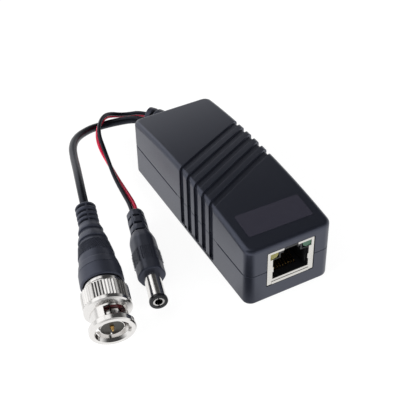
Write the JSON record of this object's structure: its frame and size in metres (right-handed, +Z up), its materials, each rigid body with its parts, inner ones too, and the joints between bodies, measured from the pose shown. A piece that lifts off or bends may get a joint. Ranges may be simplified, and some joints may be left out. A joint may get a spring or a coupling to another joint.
{
  "type": "cctv video balun",
  "caption": "Small black plastic box with a network jack at one end, and a bayonet video plug and a barrel power plug on short moulded leads at the other.",
  "frame": {"origin": "centre of the box's base, leads and plugs not counted", "axes": "+Y from the network jack to the strain relief, +Z up, +X to the right seen from the jack"},
  "size_m": [0.08, 0.1023, 0.0251],
  "materials": {
    "case_plastic": "fine moulded texture",
    "label_film": "satin film",
    "shield_metal": "tinned",
    "insert_plastic": "moulded",
    "gold_contact": "gold plated",
    "lamp_yellow": "clear",
    "lamp_green": "clear",
    "board_laminate": "solder mask",
    "ferrite": "ground",
    "ceramic": "glazed",
    "can_metal": "sleeved",
    "screw_steel": "blackened",
    "black_rubber": "matt",
    "coax_jacket": "satin",
    "wire_red": "satin",
    "wire_black": "satin",
    "nickel": "nickel plated",
    "gasket_red": "matt",
    "insulator": "turned",
    "tip_plastic": "moulded"
  },
  "bodies": {
    "balun": {"top_cover": "case_plastic", "bottom_shell": "case_plastic", "cover_label": "label_film", "jack_shield": "shield_metal", "jack_insert": "insert_plastic", "jack_contacts": "gold_contact", "bnc_centre_pin": "gold_contact", "jack_lamp_left": "lamp_yellow", "jack_lamp_right": "lamp_green", "circuit_board": "board_laminate", "balun_transformer": "ferrite", "common_mode_choke": "ferrite", "surge_arrester": "ceramic", "board_capacitors": "can_metal", "case_screw_front": "screw_steel", "case_screw_rear": "screw_steel", "strain_relief": "black_rubber", "bnc_boot": "black_rubber", "dc_plug_grip": "black_rubber", "coax_cord": "coax_jacket", "coax_tail": "coax_jacket", "power_wire_red": "wire_red", "power_wire_black": "wire_black", "power_tails": "wire_black", "bnc_body": "nickel", "bnc_retaining_ring": "nickel", "dc_plug_barrel": "nickel", "dc_plug_contact": "nickel", "bnc_gasket": "gasket_red", "bnc_insulator": "insulator", "dc_plug_tip_ring": "tip_plastic"},
    "nut_carriage": {"bnc_spring_washer": "nickel"},
    "coupling_nut": {"bnc_coupling_nut": "nickel"}
  },
  "joints": [
    {"name": "nut_slide", "type": "slide", "parent": "balun", "child": "nut_carriage", "axis": [-0.2395, -0.952, -0.1908], "range_m": [0, 0.0008], "stiffness_N_per_m": 3000},
    {"name": "nut_turn", "type": "hinge", "parent": "nut_carriage", "child": "coupling_nut", "pos_m": [-0.05582, -0.02695, 0.00866], "axis": [-0.2395, -0.952, -0.1908], "continuous": true}
  ]
}
